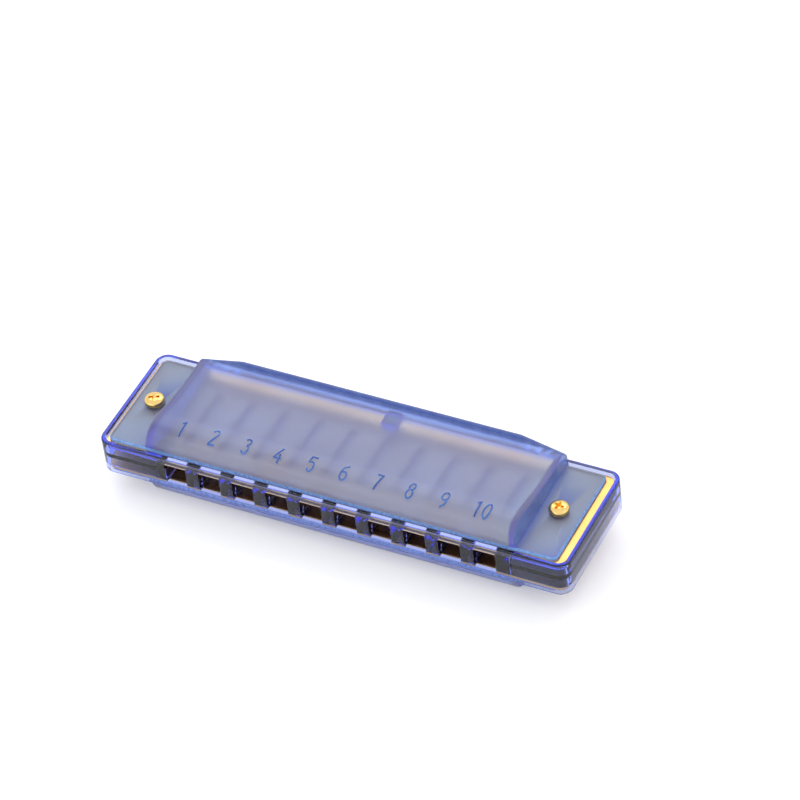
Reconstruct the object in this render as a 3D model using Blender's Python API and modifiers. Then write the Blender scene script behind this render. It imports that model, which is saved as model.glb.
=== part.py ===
"""A ten-hole diatonic harmonica: a clear moulded comb between two brass reed plates and two frosted covers.

The origin is the centre of the comb. +X runs from hole 1 to hole 10, -Y is the mouth side, +Z is the
blow side. The lower cover is the upper one mirrored in Z and seated slightly nearer the mouth.
"""

import math

import bpy
import bmesh
from mathutils import Matrix, Vector

MM = 0.001
HOLES = 10
PITCH = 7.5
GAP = 0.1  # between pieces that touch
OVERSHOOT = 1.0  # how far a cutter passes the face that it cuts

# comb
COMB_LENGTH = 102.3
COMB_DEPTH = 27.7
COMB_HEIGHT = 7.9
COMB_CORNER = 2.6
RIM_WALL = 0.85
SEAT_Z = 2.4
HOLE_WIDTH = 4.65
HOLE_HEIGHT = 4.7
MOUTH_DEPTH = 1.6
CHANNEL_OVERLAP = 0.3
CHANNEL_BACK = 9.0
WEB_HALF = 0.5
POCKET_INNER = 38.2
POCKET_WALL = 1.3
BOSS_RADIUS = 2.6
BOSS_SETBACK = 0.05
COMB_BEVEL = 0.25

# reed plates
PLATE_LENGTH = 100.0
PLATE_DEPTH = 25.4
PLATE_CORNER = 1.5
PLATE_THICKNESS = 0.75
PLATE_INNER_Z = SEAT_Z + GAP
PLATE_OUTER_Z = PLATE_INNER_Z + PLATE_THICKNESS

# reeds and rivets
REED_THICKNESS = 0.2
REED_WIDTH = 1.9
LONGEST_REED = 14.5
REED_STEP = 0.45
PAD_LENGTH = 2.2
PAD_WIDTH = 2.7
PAD_TAPER = 0.3
SLOT_CLEARANCE = 0.18
BLOW_CLAMP_Y = 6.6
DRAW_CLAMP_Y = -8.4
RIVET_RADIUS = 0.4
RIVET_HOLE_RADIUS = 0.56
RIVET_HEAD_RADIUS = 0.78
RIVET_HEAD_HEIGHT = 0.25

# covers, which sit a little to the left in the comb
COVER_SHIFT = -0.5
LOWER_COVER_FORWARD = 0.25
FLANGE_HALF_LENGTH = 49.0
FLANGE_HALF_DEPTH = 12.3
FLANGE_CORNER = 1.3
FLANGE_BOTTOM_Z = PLATE_OUTER_Z + GAP
FLANGE_TOP_Z = 4.05
FLANGE_BEVEL = 0.3
ARCH_HALF_LENGTH = 40.3
ARCH_LEAN = 0.35
ARCH_WALL = 0.85
ARCH_BACK_Y = 12.75
ARCH_STEPS = 7
FOOT_Z = FLANGE_TOP_Z + 0.15
FRONT_FULLNESS = 2.3  # exponent of the superellipse at the mouth
CREST_Z = 8.6
CREST_FRONT_Y = -8.4
CREST_BACK_Y = -6.4
VALLEY_Z = 7.15
VALLEY_Y = 6.5
VALLEY_EASE = 1.8
END_ROUNDING = 0.4

# back lip: (y, z) points where it stands full height, and where the roof rolls down at its ends
LIP_FOOT = (11.4, 7.35)
LIP_RAISED = [(11.85, 7.7), (12.05, 8.1), (12.05, 8.4), (12.25, 8.6), (12.55, 8.6), (12.75, 8.4)]
LIP_ROLLED = [(11.75, 7.2), (12.0, 7.05), (12.2, 6.9), (12.4, 6.7), (12.6, 6.45), (12.75, 6.2)]
LIP_FLAT_HALF = 31.0
LIP_END_HALF = 39.9
HOLLOW_FLAT_HALF = 35.0
HOLLOW_FLAT_Z = 6.45
HOLLOW_ROLLED_Z = 5.3

# screws and nuts
SCREW_X = (-45.2, 43.6)
SCREW_CLEARANCE_RADIUS = 1.3
SHANK_RADIUS = 1.0
HEAD_RADIUS = 2.05
HEAD_HEIGHT = 1.5
HEAD_ROUNDING = 0.6
RECESS_DEPTH = 0.7
RECESS_WIDTH = 0.5
RECESS_LENGTH = 2.3
NUT_ACROSS_FLATS = 4.0
NUT_THICKNESS = 1.6
NUT_BEVEL = 0.2
SHANK_END_Z = -5.6
SHANK_TIP = 0.3


def hole_x(index):
    return (index - (HOLES - 1) / 2) * PITCH


def reed_length(index):
    return LONGEST_REED - REED_STEP * index


def clear_scene():
    for obj in list(bpy.data.objects):
        bpy.data.objects.remove(obj, do_unlink=True)


def new_collection(name):
    collection = bpy.data.collections.new(name)
    bpy.context.scene.collection.children.link(collection)
    return collection


def principled(name, color, roughness, metallic=0.0, transmission=0.0):
    material = bpy.data.materials.new(name)
    material.use_nodes = True
    shader = material.node_tree.nodes["Principled BSDF"]
    shader.inputs["Base Color"].default_value = (*color, 1.0)
    shader.inputs["Roughness"].default_value = roughness
    shader.inputs["Metallic"].default_value = metallic
    shader.inputs["Transmission Weight"].default_value = transmission
    return material


def object_from_bmesh(name, bm, collection, material=None):
    bmesh.ops.recalc_face_normals(bm, faces=bm.faces)
    mesh = bpy.data.meshes.new(name)
    bm.to_mesh(mesh)
    bm.free()
    obj = bpy.data.objects.new(name, mesh)
    collection.objects.link(obj)
    if material:
        mesh.materials.append(material)
    return obj


def add_box(bm, low, high):
    """Adds a closed box between two corners, in millimetres."""
    low = Vector(low) * MM
    high = Vector(high) * MM
    place = Matrix.Translation((low + high) / 2) @ Matrix.Diagonal((*(high - low), 1.0))
    bmesh.ops.create_cube(bm, size=1.0, matrix=place)


def add_cylinder(bm, centre, radius, bottom, top, sides):
    place = Matrix.Translation(Vector((centre[0], centre[1], (bottom + top) / 2)) * MM)
    bmesh.ops.create_cone(
        bm, cap_ends=True, segments=sides, radius1=radius * MM, radius2=radius * MM,
        depth=(top - bottom) * MM, matrix=place,
    )


def rounded_rectangle(half_x, half_y, radius, steps=5):
    """The corner points of a rounded rectangle, counter-clockwise."""
    points = []
    for quarter, (sx, sy) in enumerate(((1, 1), (-1, 1), (-1, -1), (1, -1))):
        for step in range(steps + 1):
            angle = math.pi / 2 * (quarter + step / steps)
            x = sx * (half_x - radius) + radius * math.cos(angle)
            y = sy * (half_y - radius) + radius * math.sin(angle)
            points.append((x, y))
    return points


def flat_outline(name, outlines, bottom, top, collection, material=None):
    """A plate between two heights, from closed outlines in XY, made a welded mesh."""
    curve = bpy.data.curves.new(name, "CURVE")
    curve.dimensions = "2D"
    curve.fill_mode = "BOTH"
    curve.extrude = (top - bottom) / 2 * MM
    for outline in outlines:
        spline = curve.splines.new("POLY")
        spline.points.add(len(outline) - 1)
        for point, (x, y) in zip(spline.points, outline):
            point.co = (x * MM, y * MM, 0.0, 1.0)
        spline.use_cyclic_u = True
    shape = bpy.data.objects.new(name + "_outline", curve)
    shape.location.z = (top + bottom) / 2 * MM
    collection.objects.link(shape)
    bpy.context.view_layer.update()
    graph = bpy.context.evaluated_depsgraph_get()
    mesh = bpy.data.meshes.new_from_object(shape.evaluated_get(graph))
    bm = bmesh.new()
    bm.from_mesh(mesh)
    bmesh.ops.remove_doubles(bm, verts=bm.verts, dist=1e-7)
    bmesh.ops.recalc_face_normals(bm, faces=bm.faces)
    bm.to_mesh(mesh)
    bm.free()
    mesh.name = name
    obj = bpy.data.objects.new(name, mesh)
    obj.matrix_world = shape.matrix_world
    collection.objects.link(obj)
    bpy.data.objects.remove(shape, do_unlink=True)
    bpy.data.curves.remove(curve)
    if material:
        mesh.materials.clear()
        mesh.materials.append(material)
    return obj


def as_cutter(obj):
    obj.hide_render = True
    obj.display_type = "WIRE"
    return obj


def boolean(obj, other, operation):
    modifier = obj.modifiers.new(f"{operation.lower()}_{other.name}", "BOOLEAN")
    modifier.operation = operation
    modifier.solver = "EXACT"
    modifier.object = as_cutter(other)
    return modifier


def bevel(obj, width, segments, angle=30.0):
    modifier = obj.modifiers.new("edges", "BEVEL")
    modifier.width = width * MM
    modifier.segments = segments
    modifier.limit_method = "ANGLE"
    modifier.angle_limit = math.radians(angle)


def turned(name, profile, steps, collection, material=None):
    """A solid of revolution about Z from (radius, height) points that run down the outer side."""
    bm = bmesh.new()
    verts = [bm.verts.new((radius * MM, 0.0, height * MM)) for radius, height in profile]
    for start, end in zip(verts, verts[1:]):
        bm.edges.new((start, end))
    mesh = bpy.data.meshes.new(name)
    bm.to_mesh(mesh)
    bm.free()
    obj = bpy.data.objects.new(name, mesh)
    collection.objects.link(obj)
    modifier = obj.modifiers.new("turn", "SCREW")
    modifier.steps = steps
    modifier.render_steps = steps
    modifier.use_merge_vertices = True
    modifier.merge_threshold = 0.00001
    modifier.use_smooth_shade = True
    if material:
        mesh.materials.append(material)
    return obj


def mirrored_below(obj, name, collection):
    """The finished shape of an upper piece, mirrored in the comb's middle plane."""
    bpy.context.view_layer.update()
    graph = bpy.context.evaluated_depsgraph_get()
    mesh = bpy.data.meshes.new_from_object(obj.evaluated_get(graph))
    mesh.name = name
    mesh.transform(obj.matrix_world)
    mesh.transform(Matrix.Diagonal((1.0, 1.0, -1.0, 1.0)))
    mesh.flip_normals()
    copy = bpy.data.objects.new(name, mesh)
    collection.objects.link(copy)
    return copy


def build_comb(parts, cutters, material):
    top = COMB_HEIGHT / 2
    outline = rounded_rectangle(COMB_LENGTH / 2, COMB_DEPTH / 2, COMB_CORNER)
    comb = flat_outline("comb", [outline], -top, top, parts, material)
    bevel(comb, COMB_BEVEL, 2)

    recess = rounded_rectangle(
        COMB_LENGTH / 2 - RIM_WALL, COMB_DEPTH / 2 - RIM_WALL, COMB_CORNER - RIM_WALL
    )
    for side, bottom, height in (("upper", SEAT_Z, top + OVERSHOOT), ("lower", -top - OVERSHOOT, -SEAT_Z)):
        boolean(comb, flat_outline(f"{side}_recess", [recess], bottom, height, cutters), "DIFFERENCE")

    front = -COMB_DEPTH / 2
    mouths = bmesh.new()
    channels = bmesh.new()
    half = HOLE_WIDTH / 2
    for index in range(HOLES):
        x = hole_x(index)
        add_box(
            mouths, (x - half, front - OVERSHOOT, -HOLE_HEIGHT / 2),
            (x + half, front + MOUTH_DEPTH, HOLE_HEIGHT / 2),
        )
        add_box(
            channels, (x - half, front + MOUTH_DEPTH - CHANNEL_OVERLAP, -SEAT_Z - OVERSHOOT),
            (x + half, CHANNEL_BACK, SEAT_Z + OVERSHOOT),
        )
    boolean(comb, object_from_bmesh("channels", channels, cutters), "DIFFERENCE")
    boolean(comb, object_from_bmesh("mouths", mouths, cutters), "DIFFERENCE")

    pockets = bmesh.new()
    outer = COMB_LENGTH / 2 - POCKET_WALL
    depth = COMB_DEPTH / 2 - POCKET_WALL
    for sign in (-1, 1):
        for low, high in ((WEB_HALF, SEAT_Z + OVERSHOOT), (-SEAT_Z - OVERSHOOT, -WEB_HALF)):
            ends = sorted((sign * POCKET_INNER, sign * outer))
            add_box(pockets, (ends[0], -depth, low), (ends[1], depth, high))
    boolean(comb, object_from_bmesh("end_pockets", pockets, cutters), "DIFFERENCE")

    bosses = bmesh.new()
    bores = bmesh.new()
    for x in SCREW_X:
        add_cylinder(bosses, (x, 0), BOSS_RADIUS, -SEAT_Z + BOSS_SETBACK, SEAT_Z - BOSS_SETBACK, 24)
        add_cylinder(bores, (x, 0), SCREW_CLEARANCE_RADIUS, -top, top, 20)
    boolean(comb, object_from_bmesh("bosses", bosses, cutters), "UNION")
    boolean(comb, object_from_bmesh("boss_bores", bores, cutters), "DIFFERENCE")
    return comb


def circle_points(x, y, radius, sides):
    return [
        (x + radius * math.cos(math.tau * n / sides), y + radius * math.sin(math.tau * n / sides))
        for n in range(sides)
    ]


def slot_outline(index, clamp_y, toward):
    """The slot that a reed swings through, from its clamp line past its tip."""
    half = REED_WIDTH / 2 + SLOT_CLEARANCE
    x = hole_x(index)
    tip = clamp_y + toward * (reed_length(index) + SLOT_CLEARANCE)
    low, high = sorted((clamp_y, tip))
    return [(x - half, low), (x + half, low), (x + half, high), (x - half, high)]


def rivet_y(clamp_y, toward):
    return clamp_y - toward * PAD_LENGTH / 2


def build_plate(name, bottom, clamp_y, toward, parts, material):
    outlines = [rounded_rectangle(PLATE_LENGTH / 2, PLATE_DEPTH / 2, PLATE_CORNER)]
    for index in range(HOLES):
        outlines.append(slot_outline(index, clamp_y, toward))
        outlines.append(circle_points(hole_x(index), rivet_y(clamp_y, toward), RIVET_HOLE_RADIUS, 10))
    outlines += [circle_points(x, 0, SCREW_CLEARANCE_RADIUS, 16) for x in SCREW_X]
    return flat_outline(name, outlines, bottom, bottom + PLATE_THICKNESS, parts, material)


def build_reed(name, index, clamp_y, toward, z, parts, material):
    """A reed with its origin on its clamp line; its tongue points along toward * Y."""
    pad = PAD_WIDTH / 2
    tongue = REED_WIDTH / 2
    outline = [
        (-pad, -toward * PAD_LENGTH), (pad, -toward * PAD_LENGTH), (pad, -toward * PAD_TAPER),
        (tongue, 0.0), (tongue, toward * reed_length(index)),
        (-tongue, toward * reed_length(index)), (-tongue, 0.0), (-pad, -toward * PAD_TAPER),
    ]
    hole = circle_points(0.0, -toward * PAD_LENGTH / 2, RIVET_HOLE_RADIUS, 10)
    reed = flat_outline(name, [outline, hole], -REED_THICKNESS / 2, REED_THICKNESS / 2, parts, material)
    reed.matrix_world = Matrix.Translation(Vector((hole_x(index), clamp_y, z)) * MM)
    return reed


def build_rivet(name, index, y, head_z, tail_z, parts, material):
    """A rivet whose head lies beyond head_z, on the side away from tail_z."""
    length = abs(head_z - tail_z)
    crown = 0.72 * RIVET_HEAD_RADIUS
    profile = [
        (0.0, RIVET_HEAD_HEIGHT), (crown, 0.75 * RIVET_HEAD_HEIGHT), (RIVET_HEAD_RADIUS, 0.0),
        (RIVET_RADIUS, 0.0), (RIVET_RADIUS, -length), (0.0, -length),
    ]
    rivet = turned(name, profile, 12, parts, material)
    rivet.location = Vector((hole_x(index), y, head_z)) * MM
    if head_z < tail_z:
        rivet.rotation_euler.x = math.pi
    return rivet


def build_reeds(parts, material):
    """Blow reeds lie under the upper plate, draw reeds on the outer face of the lower one."""
    blow_z = PLATE_INNER_Z - GAP - REED_THICKNESS / 2
    draw_z = -PLATE_OUTER_Z - GAP - REED_THICKNESS / 2
    for index in range(HOLES):
        number = f"{index + 1:02d}"
        build_reed(f"blow_reed_{number}", index, BLOW_CLAMP_Y, -1, blow_z, parts, material)
        build_rivet(
            f"blow_rivet_{number}", index, rivet_y(BLOW_CLAMP_Y, -1),
            blow_z - REED_THICKNESS / 2 - GAP, PLATE_OUTER_Z, parts, material,
        )
        build_reed(f"draw_reed_{number}", index, DRAW_CLAMP_Y, 1, draw_z, parts, material)
        build_rivet(
            f"draw_rivet_{number}", index, rivet_y(DRAW_CLAMP_Y, 1),
            draw_z - REED_THICKNESS / 2 - GAP, -PLATE_INNER_Z, parts, material,
        )


def roof_line():
    """(y, z) points of the cover's outer face, from the foot of the front wall to the foot of the lip."""
    points = []
    power = 2 / FRONT_FULLNESS
    for step in range(ARCH_STEPS + 1):
        angle = math.pi / 2 * step / ARCH_STEPS
        y = CREST_FRONT_Y - (FLANGE_HALF_DEPTH + CREST_FRONT_Y) * math.cos(angle) ** power
        points.append((y, FOOT_Z + (CREST_Z - FOOT_Z) * math.sin(angle) ** power))
    for step in range(ARCH_STEPS + 1):
        share = step / ARCH_STEPS
        y = CREST_BACK_Y + (VALLEY_Y - CREST_BACK_Y) * share
        points.append((y, VALLEY_Z + (CREST_Z - VALLEY_Z) * (1 - share) ** VALLEY_EASE))
    return points + [LIP_FOOT]


def inset_line(points, distance):
    """The same line moved inward, along the mean normal of the two stretches that meet at each point."""
    inner = []
    for n, (y, z) in enumerate(points):
        before = Vector(points[max(n - 1, 0)])
        after = Vector(points[min(n + 1, len(points) - 1)])
        along = (after - before).normalized()
        inner.append((y + along.y * distance, z - along.x * distance))
    return inner


def between(rolled, raised, share):
    return [tuple(Vector(a).lerp(Vector(b), share)) for a, b in zip(rolled, raised)]


def outer_ring(share):
    """The cover's outer section; share is 1 where the lip stands full height and 0 where it has rolled down."""
    foot = [(-FLANGE_HALF_DEPTH, FLANGE_BOTTOM_Z)]
    return foot + roof_line() + between(LIP_ROLLED, LIP_RAISED, share) + [(ARCH_BACK_Y, FLANGE_BOTTOM_Z)]


def hollow_ring(share):
    """The section of the hollow, which is open below and at the back."""
    inner = inset_line(roof_line(), ARCH_WALL)
    below = FLANGE_BOTTOM_Z - OVERSHOOT
    beyond = ARCH_BACK_Y + OVERSHOOT
    back_z = HOLLOW_ROLLED_Z + (HOLLOW_FLAT_Z - HOLLOW_ROLLED_Z) * share
    return [(inner[0][0], below)] + inner + [(ARCH_BACK_Y, back_z), (beyond, back_z), (beyond, below)]


def arch_solid(name, ring, half_length, flat_half, forward, collection):
    """A closed loft of sections along X, with rounded top edges and end walls that lean inward."""
    end_half = half_length - END_ROUNDING
    stations = [(half_length, END_ROUNDING), (half_length - 0.3 * END_ROUNDING, 0.3 * END_ROUNDING)]
    stations += [(end_half, 0.0), (flat_half, 0.0)]
    bm = bmesh.new()
    rings = []
    for sign, half, drop in [(-1, *s) for s in stations] + [(1, *s) for s in stations[::-1]]:
        section = ring(min(1.0, max(0.0, (end_half - half) / (end_half - flat_half))))
        base_z = section[0][1]
        verts = []
        for n, (y, z) in enumerate(section):
            height = z - drop if 1 < n < len(section) - 1 else z
            lean = ARCH_LEAN * (height - base_z) / (CREST_Z - base_z)
            x = COVER_SHIFT + sign * half * (1 - lean / half_length)
            verts.append(bm.verts.new(Vector((x, y - forward, height)) * MM))
        rings.append(verts)
    for left, right in zip(rings, rings[1:]):
        for n in range(len(left)):
            after = (n + 1) % len(left)
            bm.faces.new((left[n], right[n], right[after], left[after]))
    bm.faces.new(rings[0])
    bm.faces.new(rings[-1])
    return object_from_bmesh(name, bm, collection)


def build_cover(name, forward, parts, cutters, material):
    """A thin arch with a raised back lip, hollowed from below and behind and joined to its flanges."""
    cover = arch_solid(name, outer_ring, ARCH_HALF_LENGTH, LIP_FLAT_HALF, forward, parts)
    cover.data.materials.append(material)

    flange = flat_outline(
        name + "_flanges", [rounded_rectangle(FLANGE_HALF_LENGTH, FLANGE_HALF_DEPTH, FLANGE_CORNER)],
        FLANGE_BOTTOM_Z, FLANGE_TOP_Z, cutters,
    )
    flange.location.x = COVER_SHIFT * MM
    flange.location.y = -forward * MM
    bevel(flange, FLANGE_BEVEL, 2)
    boolean(cover, flange, "UNION")
    half_length = ARCH_HALF_LENGTH - ARCH_WALL
    hollow = arch_solid(name + "_hollow", hollow_ring, half_length, HOLLOW_FLAT_HALF, forward, cutters)
    boolean(cover, hollow, "DIFFERENCE")

    bores = bmesh.new()
    for x in SCREW_X:
        add_cylinder(bores, (x, 0), SCREW_CLEARANCE_RADIUS, 0, FLANGE_TOP_Z + OVERSHOOT, 20)
    boolean(cover, object_from_bmesh(name + "_bores", bores, cutters), "DIFFERENCE")
    return cover


def build_screw(name, x, parts, cutters, material):
    bottom = FLANGE_TOP_Z + GAP
    top = bottom + HEAD_HEIGHT
    profile = [(0.0, top)]
    for step in range(5):
        angle = math.pi / 2 * step / 4
        radius = HEAD_RADIUS - HEAD_ROUNDING * (1 - math.sin(angle))
        profile.append((radius, top - HEAD_ROUNDING * (1 - math.cos(angle))))
    profile += [
        (HEAD_RADIUS, bottom), (SHANK_RADIUS, bottom),
        (SHANK_RADIUS, SHANK_END_Z + SHANK_TIP), (SHANK_RADIUS - SHANK_TIP, SHANK_END_Z), (0.0, SHANK_END_Z),
    ]
    screw = turned(name, profile, 24, parts, material)
    screw.location.x = x * MM
    half = RECESS_LENGTH / 2
    arm = RECESS_WIDTH / 2
    for axis, (reach_x, reach_y) in (("x", (half, arm)), ("y", (arm, half))):
        slot = bmesh.new()
        add_box(slot, (x - reach_x, -reach_y, top - RECESS_DEPTH), (x + reach_x, reach_y, top + OVERSHOOT))
        boolean(screw, object_from_bmesh(f"{name}_recess_{axis}", slot, cutters), "DIFFERENCE")
    return screw


def build_nut(name, x, parts, cutters, material):
    top = -FLANGE_TOP_Z - GAP
    bm = bmesh.new()
    corner = NUT_ACROSS_FLATS / 2 / math.cos(math.pi / 6)
    add_cylinder(bm, (0, 0), corner, top - NUT_THICKNESS, top, 6)
    nut = object_from_bmesh(name, bm, parts, material)
    nut.location.x = x * MM
    bevel(nut, NUT_BEVEL, 1)
    bore = bmesh.new()
    add_cylinder(bore, (x, 0), SHANK_RADIUS + GAP, top - 2 * NUT_THICKNESS, top + OVERSHOOT, 20)
    boolean(nut, object_from_bmesh(name + "_bore", bore, cutters), "DIFFERENCE")
    return nut


def main():
    clear_scene()
    parts = new_collection("harmonica")
    cutters = new_collection("cutters")
    clear_blue = principled("clear_blue_plastic", (0.10, 0.12, 0.62), 0.08, transmission=0.8)
    frosted = principled("frosted_blue_plastic", (0.24, 0.32, 0.72), 0.45, transmission=0.4)
    plate_brass = principled("brass_plate", (0.86, 0.56, 0.22), 0.32, metallic=1.0)
    reed_brass = principled("reed_brass", (0.80, 0.55, 0.27), 0.25, metallic=1.0)
    polished = principled("polished_brass", (0.95, 0.74, 0.34), 0.14, metallic=1.0)

    build_comb(parts, cutters, clear_blue)
    build_plate("upper_reed_plate", PLATE_INNER_Z, BLOW_CLAMP_Y, -1, parts, plate_brass)
    build_plate("lower_reed_plate", -PLATE_OUTER_Z, DRAW_CLAMP_Y, 1, parts, plate_brass)
    build_reeds(parts, reed_brass)
    build_cover("top_cover", 0.0, parts, cutters, frosted)
    upright = build_cover("lower_cover_upright", LOWER_COVER_FORWARD, cutters, cutters, frosted)
    mirrored_below(as_cutter(upright), "bottom_cover", parts)
    for side, x in zip(("left", "right"), SCREW_X):
        build_screw(f"screw_{side}", x, parts, cutters, polished)
        build_nut(f"nut_{side}", x, parts, cutters, polished)


main()
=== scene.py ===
"""A ten-hole harmonica in clear and frosted blue plastic, lying on a white table in soft studio light.

Lengths are in millimetres in the constants and functions, and turned to metres where a mesh is made.
+X runs from the first hole to the last, -Y is the mouth side, +Z is the side with the screw heads.
"""

import math

import bmesh
import bpy
from mathutils import Matrix, Vector


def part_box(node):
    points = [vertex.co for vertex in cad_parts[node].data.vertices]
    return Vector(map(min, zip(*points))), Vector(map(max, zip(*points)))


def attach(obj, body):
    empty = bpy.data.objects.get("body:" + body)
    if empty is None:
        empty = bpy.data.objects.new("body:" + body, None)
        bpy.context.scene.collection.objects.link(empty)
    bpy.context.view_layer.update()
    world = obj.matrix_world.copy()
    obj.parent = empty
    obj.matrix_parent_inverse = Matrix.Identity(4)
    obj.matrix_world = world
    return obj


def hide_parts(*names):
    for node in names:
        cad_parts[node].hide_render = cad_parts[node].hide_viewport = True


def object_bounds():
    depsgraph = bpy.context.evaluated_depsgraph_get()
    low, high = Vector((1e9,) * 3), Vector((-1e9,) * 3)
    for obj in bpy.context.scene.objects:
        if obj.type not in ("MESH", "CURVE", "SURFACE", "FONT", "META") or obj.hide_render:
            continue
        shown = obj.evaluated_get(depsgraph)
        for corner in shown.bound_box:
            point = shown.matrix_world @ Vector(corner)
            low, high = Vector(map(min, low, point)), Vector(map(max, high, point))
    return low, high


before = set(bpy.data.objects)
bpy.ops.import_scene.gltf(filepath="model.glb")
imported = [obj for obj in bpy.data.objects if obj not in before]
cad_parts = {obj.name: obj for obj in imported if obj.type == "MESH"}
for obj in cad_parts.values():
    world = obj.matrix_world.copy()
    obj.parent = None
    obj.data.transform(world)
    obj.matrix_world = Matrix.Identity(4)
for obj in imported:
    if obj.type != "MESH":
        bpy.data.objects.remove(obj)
cad_low, cad_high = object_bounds()

MM = 0.001
HOLES = 10
PITCH = 7.5


def node_box(name):
    """(lowest, highest) corner of a CAD node, in millimetres."""
    low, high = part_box(name)
    return Vector(low) / MM, Vector(high) / MM


COMB_HIGH = node_box("comb")[1]
COVER_LOW, COVER_HIGH = node_box("top_cover")
SCREW_BOXES = {side: node_box(f"screw_{side}") for side in ("left", "right")}
NUT_BOXES = {side: node_box(f"nut_{side}") for side in ("left", "right")}

# comb
COMB_CORNER = 2.6
RIM_WALL = 0.85
SEAT_Z = 2.4
HOLE_WIDTH = 4.65
HOLE_HEIGHT = 4.7
MOUTH_DEPTH = 1.6
CHANNEL_BACK = 9.0
WEB_HALF = 0.5
POCKET_INNER = 38.2
POCKET_WALL = 1.3
BOSS_RADIUS = 2.6
BORE_RADIUS = 1.3
COMB_EDGE = 0.3
COMB_BEVEL = 0.12
POCKET_CORNER = 1.2
CORE_FRONT = 1.5
CORE_BACK = 5.5
CORE_TIP_SET_BACK = 0.5
CORE_TIP_Z = 0.75
CORE_TIP_HALF = (0.12, 0.3)
CORE_MOUTH_HALF = 0.75
OVERLAP = 0.5
CHANNEL_LAP = 0.3
BOSS_SET_BACK = 0.05
BEYOND = 1.0

# covers
COVER_CENTRE = (COVER_LOW.x + COVER_HIGH.x) / 2
COVER_WALL = 0.7
COVER_END_WALL = 1.3
FLANGE_HALF_LENGTH = (COVER_HIGH.x - COVER_LOW.x) / 2
FLANGE_HALF_DEPTH = -COVER_LOW.y
FLANGE_CORNER = 1.3
FLANGE_BOTTOM_Z = COVER_LOW.z
FLANGE_TOP_Z = FLANGE_BOTTOM_Z + 0.7
FLANGE_LEVELS = [
    (0.12, 0.0), (0.03, 0.04), (0.0, 0.12), (0.0, 0.28),
    (0.05, 0.42), (0.16, 0.56), (0.32, 0.66), (0.5, 0.7),
]
COVER_BEVEL = 0.1
LOWER_COVER_FORWARD = 0.25
ARCH_HALF_LENGTH = 40.3
HAZE_START = 33.5
HAZE_END = 40.0
HAZE_SHARE = 0.55
ARCH_LEAN = 0.35
ARCH_BACK_Y = COVER_HIGH.y
FOOT_Z = FLANGE_TOP_Z + 0.15
FRONT_FULLNESS = 2.3
CREST_Z = COVER_HIGH.z
CREST_FRONT_Y = -8.4
CREST_BACK_Y = -6.4
VALLEY_Z = 7.15
VALLEY_Y = 6.5
VALLEY_EASE = 1.8
VALLEY_RISE = 0.2
END_ROUNDING = 0.4
LIP_FOOT_Y = 11.3
LIP_RAISED = [
    (11.55, 7.43), (11.78, 7.56), (11.95, 7.76), (12.04, 8.0), (12.06, 8.2), (12.09, 8.36), (12.17, 8.5),
    (12.3, 8.58), (12.42, 8.6), (12.55, 8.57), (12.67, 8.48), (12.73, 8.34), (12.75, 8.2),
]
LIP_ROLLED = [
    (11.5, 7.25), (11.65, 7.2), (11.8, 7.14), (11.92, 7.09), (12.04, 7.02), (12.15, 6.95), (12.26, 6.86),
    (12.37, 6.76), (12.47, 6.66), (12.56, 6.54), (12.64, 6.42), (12.71, 6.3), (12.75, 6.18),
]
LIP_FLAT_HALF = 31.0
HOLLOW_FLAT_HALF = 35.0
HOLLOW_FLAT_Z = 5.9
HOLLOW_ROLLED_Z = 5.3
HOLLOW_STEP_Y = 0.4
HOLLOW_STEP_Z = 0.15
STATION_SHARES = (0.08, 0.25, 0.45, 0.65, 0.82, 0.92, 0.97, 1.0)
MIDDLE_STATION = 0.93

STAY_LOW_X = 1.7
STAY_HIGH_X = 4.7
STAY_FRONT_Y = 8.0
STAY_BACK_Y = 11.9
STAY_BOTTOM_Z = 4.6
STAY_TOP_Z = 6.9

# reeds
REED_WIDTH = 1.9
REED_TAPER = 0.9
RIVET_RADIUS = 0.4
RIVET_HOLE_RADIUS = 0.56
RIVET_DOME = 0.16
RIVET_CHAMFER = 0.06
PAD_CORNER = 0.35
PAD_LENGTH = 2.2
PAD_WIDTH = 2.7

# camera, in the frame of the object
CAMERA_AZIMUTH = 30.95
CAMERA_ELEVATION = 42.97
CAMERA_ROLL = -7.55
CAMERA_DISTANCE = 900.7
CAMERA_TARGET = (-1.27, 21.2, 0.0)
CAMERA_LENS = 202.93


def hole_x(index):
    return (index - (HOLES - 1) / 2) * PITCH


# ---------------------------------------------------------------------------------------------- nodes


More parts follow.
